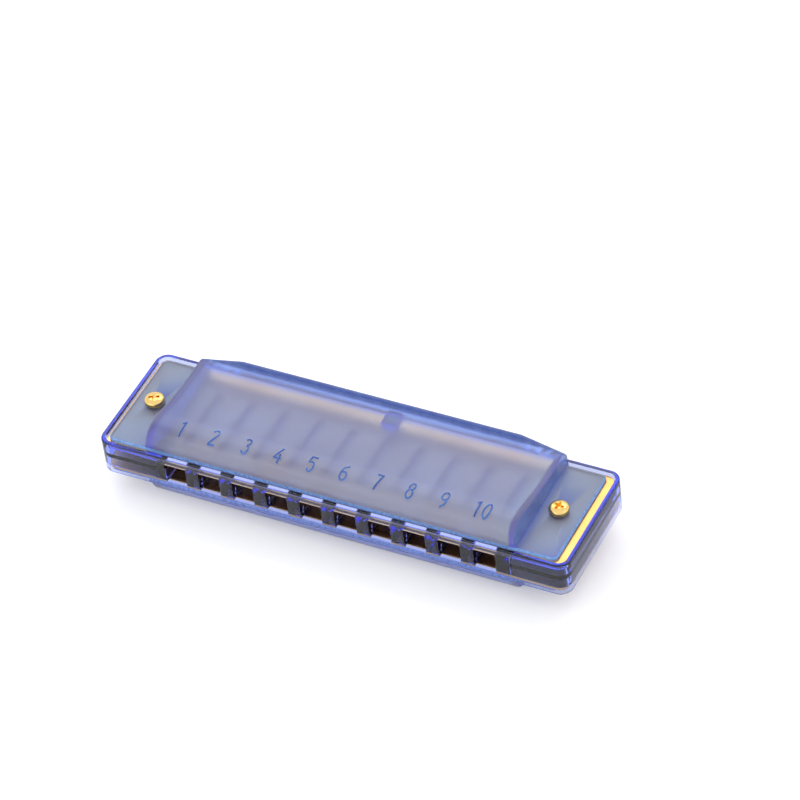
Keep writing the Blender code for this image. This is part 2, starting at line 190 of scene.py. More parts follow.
class Tree:
    """A short hand for making a material's nodes."""

    def __init__(self, name):
        self.material = bpy.data.materials.new(name)
        self.material.use_nodes = True
        self.nodes = self.material.node_tree.nodes
        self.links = self.material.node_tree.links
        self.shader = self.nodes["Principled BSDF"]
        self.output = self.nodes["Material Output"]
        self.place = self.nodes.new("ShaderNodeTexCoord").outputs["Object"]

    def set(self, **values):
        for name, value in values.items():
            self.shader.inputs[name.replace("_", " ")].default_value = value

    def noise(self, scale, detail=3.0, roughness=0.55, stretch=None):
        place = self.place
        if stretch:
            mapping = self.nodes.new("ShaderNodeMapping")
            mapping.inputs["Scale"].default_value = stretch
            self.links.new(place, mapping.inputs["Vector"])
            place = mapping.outputs["Vector"]
        node = self.nodes.new("ShaderNodeTexNoise")
        node.inputs["Scale"].default_value = scale
        node.inputs["Detail"].default_value = detail
        node.inputs["Roughness"].default_value = roughness
        self.links.new(place, node.inputs["Vector"])
        return node.outputs["Fac"]

    def ramp(self, factor, stops):
        node = self.nodes.new("ShaderNodeValToRGB")
        ramp = node.color_ramp
        while len(ramp.elements) < len(stops):
            ramp.elements.new(0.5)
        for element, (position, color) in zip(ramp.elements, stops):
            element.position = position
            element.color = (*color, 1.0)
        self.links.new(factor, node.inputs["Fac"])
        return node.outputs["Color"]

    def span(self, factor, low, high):
        node = self.nodes.new("ShaderNodeMapRange")
        node.inputs["To Min"].default_value = low
        node.inputs["To Max"].default_value = high
        self.links.new(factor, node.inputs["Value"])
        return node.outputs["Result"]

    def math(self, operation, a, b):
        node = self.nodes.new("ShaderNodeMath")
        node.operation = operation
        for socket, value in zip(node.inputs, (a, b)):
            if isinstance(value, (int, float)):
                socket.default_value = value
            else:
                self.links.new(value, socket)
        return node.outputs["Value"]

    def bluer_ends(self, color):
        """Towards the cover's ends the haze turns from greyish lilac to azure."""
        parts = self.nodes.new("ShaderNodeSeparateXYZ")
        self.links.new(self.place, parts.inputs["Vector"])
        away = self.math("ABSOLUTE", self.math("ADD", parts.outputs["X"], -COVER_CENTRE * MM), 0.0)
        rise = self.nodes.new("ShaderNodeMapRange")
        rise.interpolation_type = "SMOOTHSTEP"
        rise.inputs["From Min"].default_value = HAZE_START * MM
        rise.inputs["From Max"].default_value = HAZE_END * MM
        rise.inputs["To Max"].default_value = HAZE_SHARE
        self.links.new(away, rise.inputs["Value"])
        mix = self.nodes.new("ShaderNodeMix")
        mix.data_type = "RGBA"
        self.links.new(rise.outputs["Result"], mix.inputs["Factor"])
        self.links.new(color, mix.inputs[6])
        mix.inputs[7].default_value = (0.78, 0.81, 1.0, 1.0)
        return mix.outputs[2]

    def bump(self, height, distance, strength=1.0):
        node = self.nodes.new("ShaderNodeBump")
        node.inputs["Distance"].default_value = distance
        node.inputs["Strength"].default_value = strength
        self.links.new(height, node.inputs["Height"])
        self.links.new(node.outputs["Normal"], self.shader.inputs["Normal"])

    def drive(self, name, value):
        self.links.new(value, self.shader.inputs[name])

    def absorb(self, color, density):
        """The plastic takes up light along its path, so thick parts look deeper than thin walls."""
        volume = self.nodes.new("ShaderNodeVolumeAbsorption")
        volume.inputs["Color"].default_value = (*color, 1.0)
        volume.inputs["Density"].default_value = density
        self.links.new(volume.outputs["Volume"], self.output.inputs["Volume"])

    def let_lamps_through(self, tint):
        """Light reaches what lies behind the plastic, tinted once at each surface."""
        path = self.nodes.new("ShaderNodeLightPath")
        clear = self.nodes.new("ShaderNodeBsdfTransparent")
        clear.inputs["Color"].default_value = (*tint, 1.0)
        mix = self.nodes.new("ShaderNodeMixShader")
        self.links.new(path.outputs["Is Shadow Ray"], mix.inputs["Fac"])
        self.links.new(self.shader.outputs["BSDF"], mix.inputs[1])
        self.links.new(clear.outputs["BSDF"], mix.inputs[2])
        self.links.new(mix.outputs["Shader"], self.output.inputs["Surface"])


def clear_blue_plastic():
    tree = Tree("clear_blue_plastic")
    tree.set(IOR=1.5, Transmission_Weight=1.0)
    stops = [(0.3, (0.80, 0.86, 0.99)), (0.7, (0.85, 0.90, 0.99))]
    tree.drive("Base Color", tree.ramp(tree.noise(60.0, 2.0), stops))
    tree.drive("Roughness", tree.span(tree.noise(420.0, 4.0), 0.015, 0.06))
    tree.bump(tree.noise(260.0, 2.0), 0.00002, 0.25)
    tree.absorb((0.16, 0.28, 0.96), 390.0)
    tree.let_lamps_through((0.78, 0.82, 0.99))
    return tree.material


def frosted_blue_plastic():
    """Milky azure plastic with a fine frosted grain and a few pale specks."""
    tree = Tree("frosted_blue_plastic")
    tree.set(IOR=1.46, Transmission_Weight=0.86)
    grain = tree.noise(3600.0, 2.0, 0.6)
    cloud = tree.noise(110.0, 3.0)
    mixed = tree.math("ADD", tree.math("MULTIPLY", grain, 0.65), tree.math("MULTIPLY", cloud, 0.35))
    tint = tree.ramp(mixed, [(0.34, (0.82, 0.73, 0.93)), (0.66, (0.90, 0.79, 0.99))])
    specks = tree.nodes.new("ShaderNodeTexVoronoi")
    specks.inputs["Scale"].default_value = 700.0
    tree.links.new(tree.place, specks.inputs["Vector"])
    spots = tree.math("LESS_THAN", specks.outputs["Distance"], 0.09)
    chance = tree.nodes.new("ShaderNodeSeparateColor")
    tree.links.new(specks.outputs["Color"], chance.inputs["Color"])
    rare = tree.math("GREATER_THAN", chance.outputs["Red"], 0.90)
    mix = tree.nodes.new("ShaderNodeMix")
    mix.data_type = "RGBA"
    tree.links.new(tree.math("MULTIPLY", spots, rare), mix.inputs["Factor"])
    tree.links.new(tree.bluer_ends(tint), mix.inputs[6])
    mix.inputs[7].default_value = (0.97, 0.98, 1.0, 1.0)
    tree.drive("Base Color", mix.outputs[2])
    tree.drive("Roughness", tree.span(tree.noise(300.0, 2.0), 0.26, 0.34))
    tree.bump(grain, 0.00002, 0.2)
    tree.absorb((0.03, 0.57, 0.99), 1000.0)
    tree.let_lamps_through((0.84, 0.84, 0.97))
    return tree.material


def painted_edge_glow_plastic():
    """The same plastic where a rounded edge gathers light from inside and shows a clearer blue: a painted
    glow, given as a brighter blue base colour.
    """
    tree = Tree("painted_edge_glow_plastic")
    tree.set(IOR=1.46, Transmission_Weight=0.35)
    stops = [(0.3, (0.16, 0.36, 0.78)), (0.8, (0.22, 0.46, 0.90))]
    tree.drive("Base Color", tree.ramp(tree.noise(700.0, 2.0), stops))
    tree.drive("Roughness", tree.span(tree.noise(1200.0), 0.2, 0.36))
    tree.let_lamps_through((0.70, 0.80, 0.98))
    return tree.material


def painted_shade_blue_plastic():
    """The same plastic in the end walls and the lip, painted a darker, deeper blue: partly the deeper blue
    of plastic seen through more of its thickness, partly painted shade on faces that turn away from the
    light.
    """
    tree = Tree("painted_shade_blue_plastic")
    tree.set(IOR=1.46, Transmission_Weight=0.5)
    stops = [(0.3, (0.10, 0.17, 0.54)), (0.75, (0.16, 0.26, 0.68))]
    tree.drive("Base Color", tree.ramp(tree.noise(500.0, 3.0), stops))
    tree.drive("Roughness", tree.span(tree.noise(900.0, 3.0), 0.24, 0.38))
    tree.bump(tree.noise(3000.0, 2.0, 0.6), 0.00002, 0.2)
    tree.let_lamps_through((0.70, 0.78, 0.98))
    return tree.material


# Painted shade: the walls and floors of the numeral grooves take this deeper blue, standing in for the
# shade and refraction of grooves cut in the same plastic.
def numeral_groove_shade_plastic():
    tree = Tree("numeral_groove_shade_plastic")
    tree.set(IOR=1.46, Transmission_Weight=0.25)
    stops = [(0.3, (0.10, 0.25, 0.68)), (0.8, (0.16, 0.36, 0.82))]
    tree.drive("Base Color", tree.ramp(tree.noise(900.0, 2.0), stops))
    tree.drive("Roughness", tree.span(tree.noise(1500.0), 0.25, 0.4))
    return tree.material


def brass(name, low, high, roughness, grain, scratch=0.00001):
    """Brass with a rolling grain along X, slight tarnish and fine scratches."""
    tree = Tree(name)
    tree.set(Metallic=1.0)
    tarnish = tree.noise(90.0, 4.0, 0.6)
    tree.drive("Base Color", tree.ramp(tarnish, [(0.3, low), (0.72, high)]))
    lines = tree.noise(600.0, 3.0, 0.6, stretch=grain)
    tree.drive("Roughness", tree.span(lines, roughness[0], roughness[1]))
    tree.bump(lines, scratch, 0.5)
    return tree.material


def table_white():
    tree = Tree("table_white")
    stops = [(0.0, (0.955, 0.955, 0.955)), (1.0, (0.975, 0.975, 0.975))]
    tree.drive("Base Color", tree.ramp(tree.noise(3.0, 2.0), stops))
    tree.set(Roughness=0.6, Emission_Color=(1.0, 1.0, 1.0, 1.0), Emission_Strength=0.2)
    return tree.material


# --------------------------------------------------------------------------------------------- meshes


def finish_mesh(name, bm, material, body="base", replaces=(), smooth=True, sharp=35.0):
    bmesh.ops.recalc_face_normals(bm, faces=bm.faces)
    mesh = bpy.data.meshes.new(name)
    bm.to_mesh(mesh)
    bm.free()
    obj = bpy.data.objects.new(name, mesh)
    bpy.context.scene.collection.objects.link(obj)
    return dress(obj, material, body, replaces, smooth, sharp)


def dress(obj, material, body="base", replaces=(), smooth=True, sharp=35.0, keep=False):
    if not keep:
        obj.data.materials.clear()
        obj.data.materials.append(material)
    if smooth:
        obj.data.shade_smooth()
        obj.data.set_sharp_from_angle(angle=math.radians(sharp))
    if replaces:
        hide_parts(*replaces)
    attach(obj, body)
    return obj


def box_into(bm, low, high):
    low, high = Vector(low) * MM, Vector(high) * MM
    place = Matrix.Translation((low + high) / 2) @ Matrix.Diagonal((*(high - low), 1.0))
    bmesh.ops.create_cube(bm, size=1.0, matrix=place)


def cylinder_into(bm, x, y, radius, bottom, top, sides=48):
    place = Matrix.Translation(Vector((x, y, (bottom + top) / 2)) * MM)
    bmesh.ops.create_cone(
        bm, cap_ends=True, segments=sides, radius1=radius * MM, radius2=radius * MM,
        depth=(top - bottom) * MM, matrix=place,
    )


def rounded_rectangle(half_x, half_y, radius, steps=10):
    points = []
    for quarter, (sx, sy) in enumerate(((1, 1), (-1, 1), (-1, -1), (1, -1))):
        for step in range(steps + 1):
            angle = math.pi / 2 * (quarter + step / steps)
            x = sx * (half_x - radius) + radius * math.cos(angle)
            y = sy * (half_y - radius) + radius * math.sin(angle)
            points.append((x, y))
    return points


def rings_into(bm, rings):
    """Closes a stack of rings of the same count, (x, y, z) each, into one solid."""
    made = [[bm.verts.new(Vector(point) * MM) for point in ring] for ring in rings]
    for lower, upper in zip(made, made[1:]):
        for n in range(len(lower)):
            after = (n + 1) % len(lower)
            bm.faces.new((lower[n], lower[after], upper[after], upper[n]))
    bm.faces.new(made[0])
    bm.faces.new(made[-1])
    return made


def slab_into(bm, half_x, half_y, corner, bottom, top, edge=0.0, centre=0.0, steps=10, edge_steps=3):
    """A rounded rectangular slab whose top and bottom edges are rounded by edge."""
    rings = []
    levels = []
    for step in range(edge_steps + 1):
        angle = math.pi / 2 * step / edge_steps
        levels.append((edge * (1 - math.sin(angle)), bottom + edge * (1 - math.cos(angle))))
    if not edge:
        levels = [(0.0, bottom)]
    levels += [(inset, bottom + top - z) for inset, z in levels[::-1]]
    for inset, z in levels:
        outline = rounded_rectangle(half_x - inset, half_y - inset, max(corner - inset, 0.01), steps)
        rings.append([(x + centre, y, z) for x, y in outline])
    rings_into(bm, rings)


def scratch_object(bm, name):
    bmesh.ops.recalc_face_normals(bm, faces=bm.faces)
    mesh = bpy.data.meshes.new(name)
    bm.to_mesh(mesh)
    bm.free()
    obj = bpy.data.objects.new(name, mesh)
    bpy.context.scene.collection.objects.link(obj)
    return obj


def carve(obj, steps):
    """Runs Booleans in order, (operation, bmesh) each, and returns the finished mesh's object."""
    tools = []
    for count, (operation, bm) in enumerate(steps):
        tool = scratch_object(bm, f"{obj.name}_tool_{count}")
        modifier = obj.modifiers.new(tool.name, "BOOLEAN")
        modifier.operation = operation
        modifier.solver = "EXACT"
        modifier.object = tool
        tools.append(tool)
    apply_modifiers(obj)
    for tool in tools:
        bpy.data.objects.remove(tool, do_unlink=True)
    return obj


def apply_modifiers(obj):
    bpy.context.view_layer.update()
    graph = bpy.context.evaluated_depsgraph_get()
    mesh = bpy.data.meshes.new_from_object(obj.evaluated_get(graph))
    obj.modifiers.clear()
    obj.data = mesh


def soften(obj, width, segments=2, angle=32.0):
    modifier = obj.modifiers.new("soft_edges", "BEVEL")
    modifier.width = width * MM
    modifier.segments = segments
    modifier.limit_method = "ANGLE"
    modifier.angle_limit = math.radians(angle)
    modifier.miter_outer = "MITER_ARC"
    modifier.use_clamp_overlap = True


# ----------------------------------------------------------------------------------------------- comb


def rib_shade_core_into(bm, x, sign):
    """A wedge moulded out of the rib behind the mouth face, put there so that the clear rib reads dark with
    bright edges: a hollow that stands in for shade in the ribs.
    """
    front, back = CORE_FRONT - COMB_HIGH.y, CORE_BACK - COMB_HIGH.y
    tip_front, half = front + CORE_TIP_SET_BACK, CORE_MOUTH_HALF
    near, far = CORE_TIP_HALF
    tip, mouth = sign * CORE_TIP_Z, sign * (SEAT_Z + OVERLAP)
    tip_ring = [(x - near, tip_front), (x + near, tip_front), (x + far, back), (x - far, back)]
    mouth_ring = [(x - half, front), (x + half, front), (x + half, back), (x - half, back)]
    rings_into(bm, [[(px, y, tip) for px, y in tip_ring], [(px, y, mouth) for px, y in mouth_ring]])


def build_comb(material):
    top = COMB_HIGH.z
    body = bmesh.new()
    slab_into(body, COMB_HIGH.x, COMB_HIGH.y, COMB_CORNER, -top, top, edge=COMB_EDGE, steps=12)
    comb = scratch_object(body, "comb_clear_body")

    recesses = bmesh.new()
    half_x, half_y = COMB_HIGH.x - RIM_WALL, COMB_HIGH.y - RIM_WALL
    slab_into(recesses, half_x, half_y, COMB_CORNER - RIM_WALL, SEAT_Z, top + BEYOND)
    slab_into(recesses, half_x, half_y, COMB_CORNER - RIM_WALL, -top - BEYOND, -SEAT_Z)

    mouths = bmesh.new()
    channels = bmesh.new()
    half, half_height = HOLE_WIDTH / 2, HOLE_HEIGHT / 2
    front = -COMB_HIGH.y
    mouth_back = front + MOUTH_DEPTH
    through = SEAT_Z + OVERLAP
    for index in range(HOLES):
        left, right = hole_x(index) - half, hole_x(index) + half
        box_into(mouths, (left, front - BEYOND, -half_height), (right, mouth_back, half_height))
        box_into(channels, (left, mouth_back - CHANNEL_LAP, -through), (right, CHANNEL_BACK, through))

    pockets = bmesh.new()
    outer_x, outer_y = COMB_HIGH.x - POCKET_WALL, COMB_HIGH.y - POCKET_WALL
    middle, reach = (outer_x + POCKET_INNER) / 2, (outer_x - POCKET_INNER) / 2
    for sign in (-1, 1):
        for bottom, upper in ((WEB_HALF, through), (-through, -WEB_HALF)):
            slab_into(pockets, reach, outer_y, POCKET_CORNER, bottom, upper, centre=sign * middle, steps=6)

    # hollows that make the clear ribs read dark, standing in for shade in the ribs
    rib_shade_cores = bmesh.new()
    for index in range(HOLES - 1):
        x = (hole_x(index) + hole_x(index + 1)) / 2
        for sign in (1, -1):
            rib_shade_core_into(rib_shade_cores, x, sign)

    bosses = bmesh.new()
    bores = bmesh.new()
    for low, high in SCREW_BOXES.values():
        x = (low.x + high.x) / 2
        cylinder_into(bosses, x, 0, BOSS_RADIUS, BOSS_SET_BACK - SEAT_Z, SEAT_Z - BOSS_SET_BACK)
        cylinder_into(bores, x, 0, BORE_RADIUS, -top, top, 32)
    carve(comb, [
        ("DIFFERENCE", recesses), ("DIFFERENCE", channels), ("DIFFERENCE", mouths),
        ("DIFFERENCE", pockets), ("DIFFERENCE", rib_shade_cores), ("UNION", bosses), ("DIFFERENCE", bores),
    ])
    soften(comb, COMB_BEVEL)
    return dress(comb, material, replaces=("comb",))


# --------------------------------------------------------------------------------------------- covers


def roof_line(steps=18):
    """(y, z) points of the cover's outer face, from the foot of the front wall to the foot of the lip."""
    points = []
    power = 2 / FRONT_FULLNESS
    for step in range(steps + 1):
        angle = math.pi / 2 * step / steps
        y = CREST_FRONT_Y - (FLANGE_HALF_DEPTH + CREST_FRONT_Y) * math.cos(angle) ** power
        points.append((y, FOOT_Z + (CREST_Z - FOOT_Z) * math.sin(angle) ** power))
    for step in range(steps + 1):
        share = step / steps
        y = CREST_BACK_Y + (VALLEY_Y - CREST_BACK_Y) * share
        points.append((y, VALLEY_Z + (CREST_Z - VALLEY_Z) * (1 - share) ** VALLEY_EASE))
    for y in (7.5, 8.5, 9.5, 10.5, LIP_FOOT_Y):
        share = (y - VALLEY_Y) / (LIP_FOOT_Y - VALLEY_Y)
        points.append((y, VALLEY_Z + VALLEY_RISE * share * share))
    return points


ROOF = roof_line()


def roof_z(y):
    """Height of the roof over y."""
    for (y0, z0), (y1, z1) in zip(ROOF, ROOF[1:]):
        if y0 <= y <= y1 and y1 > y0:
            return z0 + (z1 - z0) * (y - y0) / (y1 - y0)
    return ROOF[-1][1]


def inset_line(points, distance):
    inner = []
    for n, (y, z) in enumerate(points):
        before = Vector(points[max(n - 1, 0)])
        after = Vector(points[min(n + 1, len(points) - 1)])
        along = (after - before).normalized()
        inner.append((y + along.y * distance, z - along.x * distance))
    return inner


def outer_ring(share):
    """The cover's outer section; share is 1 where the lip stands full height, 0 where it rolls down."""
    lip = [Vector(a).lerp(Vector(b), share) for a, b in zip(LIP_ROLLED, LIP_RAISED)]
    foot = [(-FLANGE_HALF_DEPTH, FLANGE_BOTTOM_Z)]
    return foot + ROOF + [tuple(point) for point in lip] + [(ARCH_BACK_Y, FLANGE_BOTTOM_Z)]


def hollow_ring(share):
    """The section of the hollow, which is open below and at the back."""
    inner = inset_line(ROOF, COVER_WALL)[:-1]
    back_z = HOLLOW_ROLLED_Z + (HOLLOW_FLAT_Z - HOLLOW_ROLLED_Z) * share
    below, beyond = FLANGE_BOTTOM_Z - BEYOND, ARCH_BACK_Y + BEYOND
    back = [
        (LIP_FOOT_Y - HOLLOW_STEP_Y, back_z + HOLLOW_STEP_Z), (ARCH_BACK_Y, back_z),
        (beyond, back_z), (beyond, below),
    ]
    return [(inner[0][0], below)] + inner + back


def arch_solid(ring, half_length, flat_half, forward, steps=5):
    """A closed loft of sections along X, with rounded top edges and end walls that lean inward."""
    end_half = half_length - END_ROUNDING
    stations = []
    for step in range(steps + 1):
        angle = math.pi / 2 * step / steps
        drop = END_ROUNDING * (1 - math.sin(angle))
        stations.append((half_length - END_ROUNDING * (1 - math.cos(angle)), drop))
    for share in STATION_SHARES:
        stations.append((end_half + (flat_half - end_half) * share, 0.0))
    stations.append((flat_half * MIDDLE_STATION, 0.0))
    rings = []
    for sign, half, drop in [(-1, *s) for s in stations] + [(1, *s) for s in stations[::-1]]:
        share = min(1.0, max(0.0, (end_half - half) / (end_half - flat_half)))
        if share < 1:
            share -= 0.5 * max(0.0, share - 0.94)
        section = ring(share)
        base_z = section[0][1]
        points = []
        for n, (y, z) in enumerate(section):
            height = z - drop if 1 < n < len(section) - 1 else z
            lean = ARCH_LEAN * (height - base_z) / (CREST_Z - base_z)
            points.append((COVER_CENTRE + sign * half * (1 - lean / half_length), y - forward, height))
        rings.append(points)
    bm = bmesh.new()
    rings_into(bm, rings)
    return bm


def flange_into(bm, forward):
    """The flange plate: a small radius below and a wide, soft bevel above."""
    rings = []
    for inset, up in FLANGE_LEVELS:
        half_x, half_y = FLANGE_HALF_LENGTH - inset, FLANGE_HALF_DEPTH - inset
        outline = rounded_rectangle(half_x, half_y, FLANGE_CORNER - inset)
        rings.append([(x + COVER_CENTRE, y - forward, FLANGE_BOTTOM_Z + up) for x, y in outline])
    rings_into(bm, rings)


def paint_edge_glow_and_shade(cover, glow_material, shade_material):
    """Gives rounded edges a clearer blue as painted glow, and the end walls and the lip a deeper one as
    painted shade.
    """
    cover.data.materials.append(glow_material)
    cover.data.materials.append(shade_material)
    shade_slot = len(cover.data.materials) - 1
    for face in cover.data.polygons:
        x, y, z = (value / MM for value in face.center)
        up = face.normal.z
        bevel = FLANGE_TOP_Z - 0.5 < z < FLANGE_TOP_Z - 0.01 and 0.2 < up < 0.97
        foot = face.normal.y < -0.9 and FLANGE_BOTTOM_Z < z < FOOT_Z
        end = z > FOOT_Z and abs(face.normal.x) > 0.9 and abs(x - COVER_CENTRE) > ARCH_HALF_LENGTH - 0.9
        lip = z > VALLEY_Z - 0.4 and y > LIP_FOOT_Y - 0.2
        # painted glow on the flange bevel and the front foot, painted shade on the end walls and the lip
        if bevel or foot:
            face.material_index = shade_slot - 1
        elif end or lip:
            face.material_index = shade_slot


def build_cover(name, node, material, forward, mirror, engraving, glow_and_shade_plastics):
    cover = scratch_object(arch_solid(outer_ring, ARCH_HALF_LENGTH, LIP_FLAT_HALF, forward), name)
    cover.data.materials.append(material)
    flange = bmesh.new()
    flange_into(flange, forward)
    bores = bmesh.new()
    for low, high in SCREW_BOXES.values():
        cylinder_into(bores, (low.x + high.x) / 2, 0, BORE_RADIUS, 0, FLANGE_TOP_Z + BEYOND, 32)
    hollow = arch_solid(hollow_ring, ARCH_HALF_LENGTH - COVER_END_WALL, HOLLOW_FLAT_HALF, forward)
    stay = bmesh.new()
    box_into(
        stay, (STAY_LOW_X, STAY_FRONT_Y - forward, STAY_BOTTOM_Z),
        (STAY_HIGH_X, STAY_BACK_Y - forward, STAY_TOP_Z),
    )
    carve(cover, [("UNION", flange), ("DIFFERENCE", hollow), ("DIFFERENCE", bores), ("UNION", stay)])
    soften(cover, COVER_BEVEL, angle=48.0)
    apply_modifiers(cover)
    if engraving:
        engrave(cover, engraving)
    paint_edge_glow_and_shade(cover, *glow_and_shade_plastics)
    if mirror:
        cover.data.transform(Matrix.Diagonal((1.0, 1.0, -1.0, 1.0)))
        cover.data.flip_normals()
    return dress(cover, material, replaces=(node,), sharp=40.0, keep=True)


# ------------------------------------------------------------------------------------------- numerals


def arc(cx, cy, rx, ry, start, end, steps=10):
    """Points of an elliptical arc between two angles in degrees."""
    points = []
    for step in range(steps + 1):
        angle = math.radians(start + (end - start) * step / steps)
        points.append((cx + rx * math.cos(angle), cy + ry * math.sin(angle)))
    return points


NUMERAL_STROKES = {
    "0": [arc(0, 0.5, 0.17, 0.44, 90, 450, 32)],
    "1": [[(-0.13, 0.82), (0.03, 0.95)], [(0.03, 0.98), (0.03, 0.02)]],
    "2": [arc(0, 0.72, 0.17, 0.22, 160, -30) + [(-0.17, 0.06)], [(-0.2, 0.05), (0.19, 0.05)]],
    "3": [arc(-0.01, 0.73, 0.16, 0.21, 150, -85), arc(-0.01, 0.29, 0.18, 0.23, 85, -150)],
    "4": [[(0.08, 0.96), (-0.2, 0.27)], [(-0.22, 0.28), (0.2, 0.28)], [(0.08, 0.55), (0.08, 0.02)]],
    "5": [
        [(-0.16, 0.93), (0.18, 0.93)], [(-0.14, 0.96), (-0.16, 0.52)],
        arc(0, 0.33, 0.17, 0.27, 125, -145),
    ],
    "6": [[(0.1, 0.95)] + arc(0.03, 0.45, 0.2, 0.42, 125, 185, 6), arc(0, 0.29, 0.17, 0.23, 90, 450, 28)],
    "7": [[(-0.18, 0.93), (0.18, 0.93)], [(0.16, 0.96), (-0.04, 0.02)]],
    "8": [arc(0, 0.73, 0.14, 0.21, 90, 450, 24), arc(0, 0.28, 0.17, 0.23, 90, 450, 28)],
    "9": [arc(0, 0.69, 0.17, 0.25, 90, 450, 28), arc(-0.03, 0.52, 0.2, 0.42, 5, -55, 6) + [(-0.1, 0.04)]],
}
NUMERAL_HEIGHT = 3.9
NUMERAL_FOOT_Y = -10.75
NUMERAL_FIRST_X = -33.7
NUMERAL_PITCH = 7.17
NUMERAL_DIGIT_PITCH = 2.1
STROKE_WIDTH = 0.38
STROKE_DEPTH = 0.3
STROKE_LIFT = 0.4
TWO_DIGIT_SHIFT = 0.9


def ribbon_into(bm, line, closed, place):
    """A stroke of one width along line, standing through the roof; place gives (x, y, z) on the roof."""
    count = len(line)
    rings = []
    for n, point in enumerate(line):
        before = line[(n - 1) % count] if closed or n else line[0]
        after = line[(n + 1) % count] if closed or n < count - 1 else line[-1]
        one = (Vector(point) - Vector(before))
        two = (Vector(after) - Vector(point))
        one = one.normalized() if one.length > 1e-9 else two.normalized()
        two = two.normalized() if two.length > 1e-9 else one
        mean = (one + two).normalized()
        side = Vector((-mean.y, mean.x)) * (STROKE_WIDTH / 2 / max(0.5, mean.dot(one)))
        corners = []
        for lift in (1, -1):
            for sign in (1, -1):
                x, y, z = place(Vector(point) + side * sign * lift)
                corners.append((x, y, z + (STROKE_LIFT if lift > 0 else -STROKE_DEPTH)))
        rings.append([bm.verts.new(Vector(corner) * MM) for corner in corners])
    pairs = list(zip(rings, rings[1:] + rings[:1])) if closed else list(zip(rings, rings[1:]))
    for a, b in pairs:
        for n in range(4):
            bm.faces.new((a[n], a[(n + 1) % 4], b[(n + 1) % 4], b[n]))
    if not closed:
        bm.faces.new(rings[0])
        bm.faces.new(rings[-1])


def engrave(cover, material):
    """Cuts the numerals 1 to 10 into the front slope of the roof, with deeper blue groove walls and floors:
    painted shade and refraction of grooves in the same plastic.
    """
    for index in range(HOLES):
        text = str(index + 1)
        centre = NUMERAL_FIRST_X + NUMERAL_PITCH * index + (TWO_DIGIT_SHIFT if len(text) > 1 else 0.0)
        for spot, digit in enumerate(text):
            shift = (spot - (len(text) - 1) / 2) * NUMERAL_DIGIT_PITCH

            def place(point, shift=shift, centre=centre):
                y = NUMERAL_FOOT_Y + point.y
                return centre + shift + point.x, y, roof_z(y)

            for stroke in NUMERAL_STROKES[digit]:
                points = [(x * NUMERAL_HEIGHT, y * NUMERAL_HEIGHT) for x, y in stroke]
                closed = (Vector(points[0]) - Vector(points[-1])).length < 1e-4
                bm = bmesh.new()
                ribbon_into(bm, points[:-1] if closed else points, closed, place)
                tool = scratch_object(bm, f"stroke_{text}")
                tool.data.materials.append(material)
                modifier = cover.modifiers.new("engraving", "BOOLEAN")
                modifier.operation = "DIFFERENCE"
                modifier.solver = "EXACT"
                modifier.material_mode = "TRANSFER"
                modifier.object = tool
                apply_modifiers(cover)
                bpy.data.objects.remove(tool, do_unlink=True)


# ---------------------------------------------------------------------------------- screws, nuts, reeds


def lathe_into(bm, profile, x, y, steps=64):
    """A turned solid about a vertical axis, from (radius, z) points; the first and last lie on the axis."""
    rings = []
    for radius, z in profile:
        if radius < 1e-6:
            rings.append([bm.verts.new(Vector((x, y, z)) * MM)])
            continue
        rings.append([
            bm.verts.new(Vector((
                x + radius * math.cos(math.tau * n / steps), y + radius * math.sin(math.tau * n / steps), z
            )) * MM)
            for n in range(steps)
        ])
    for lower, upper in zip(rings, rings[1:]):
        for n in range(steps):
            after = (n + 1) % steps
            corners = [lower[n % len(lower)], lower[after % len(lower)]]
            corners += [upper[after % len(upper)], upper[n % len(upper)]]
            bm.faces.new(list(dict.fromkeys(corners)))


HEAD_HEIGHT = 1.5
HEAD_DOME = 0.9
HEAD_FULLNESS = 0.82
SHANK_RADIUS = 1.0
THREAD_PITCH = 0.4
THREAD_DEPTH = 0.16
THREAD_START = 0.3
THREAD_END = 0.5
CROSS_ARM = 0.34
CROSS_REACH = 1.2
CROSS_FLOOR_REACH = 0.5
CROSS_DEPTH = 0.85
CROSS_TURN = {"left": 24, "right": -12}


def build_screw(side, material):
    low, high = SCREW_BOXES[side]
    x = (low.x + high.x) / 2
    radius = (high.x - low.x) / 2
    top = high.z
    profile = [(0.0, top)]
    for step in range(1, 13):
        angle = math.pi / 2 * step / 12
        fall = 1 - max(0.0, math.cos(angle)) ** HEAD_FULLNESS
        profile.append((radius * math.sin(angle) ** HEAD_FULLNESS, top - HEAD_DOME * fall))
    under = top - HEAD_HEIGHT
    profile += [(radius, under + 0.12), (radius - 0.1, under), (SHANK_RADIUS, under)]
    z = under - THREAD_START
    while z > low.z + THREAD_END:
        profile += [(SHANK_RADIUS, z), (SHANK_RADIUS - THREAD_DEPTH, z - THREAD_PITCH / 2)]
        z -= THREAD_PITCH
    profile += [(SHANK_RADIUS - 0.2, low.z + 0.2), (SHANK_RADIUS - 0.4, low.z), (0.0, low.z)]
    bm = bmesh.new()
    lathe_into(bm, profile, x, 0)
    screw = scratch_object(bm, f"screw_{side}_fine")
    turn = math.radians(CROSS_TURN[side])
    floor_arm = CROSS_ARM * 0.7
    levels = [
        (CROSS_REACH, CROSS_ARM, top + BEYOND), (CROSS_REACH, CROSS_ARM, top),
        (CROSS_FLOOR_REACH, floor_arm, top - CROSS_DEPTH),
    ]
    tools = []
    for quarter in range(2):
        slot = bmesh.new()
        rings_into(slot, [[(-r, -a, z), (r, -a, z), (r, a, z), (-r, a, z)] for r, a, z in levels])
        place = Matrix.Translation((x * MM, 0, 0)) @ Matrix.Rotation(turn + quarter * math.pi / 2, 4, "Z")
        bmesh.ops.transform(slot, matrix=place, verts=slot.verts)
        tools.append(("DIFFERENCE", slot))
    carve(screw, tools)
    soften(screw, 0.05, 2, 40.0)
    return dress(screw, material, replaces=(f"screw_{side}",), sharp=50.0)


NUT_CHAMFER = 0.22
NUT_CHAMFER_DROP = 0.3
NUT_BORE_RADIUS = 1.08


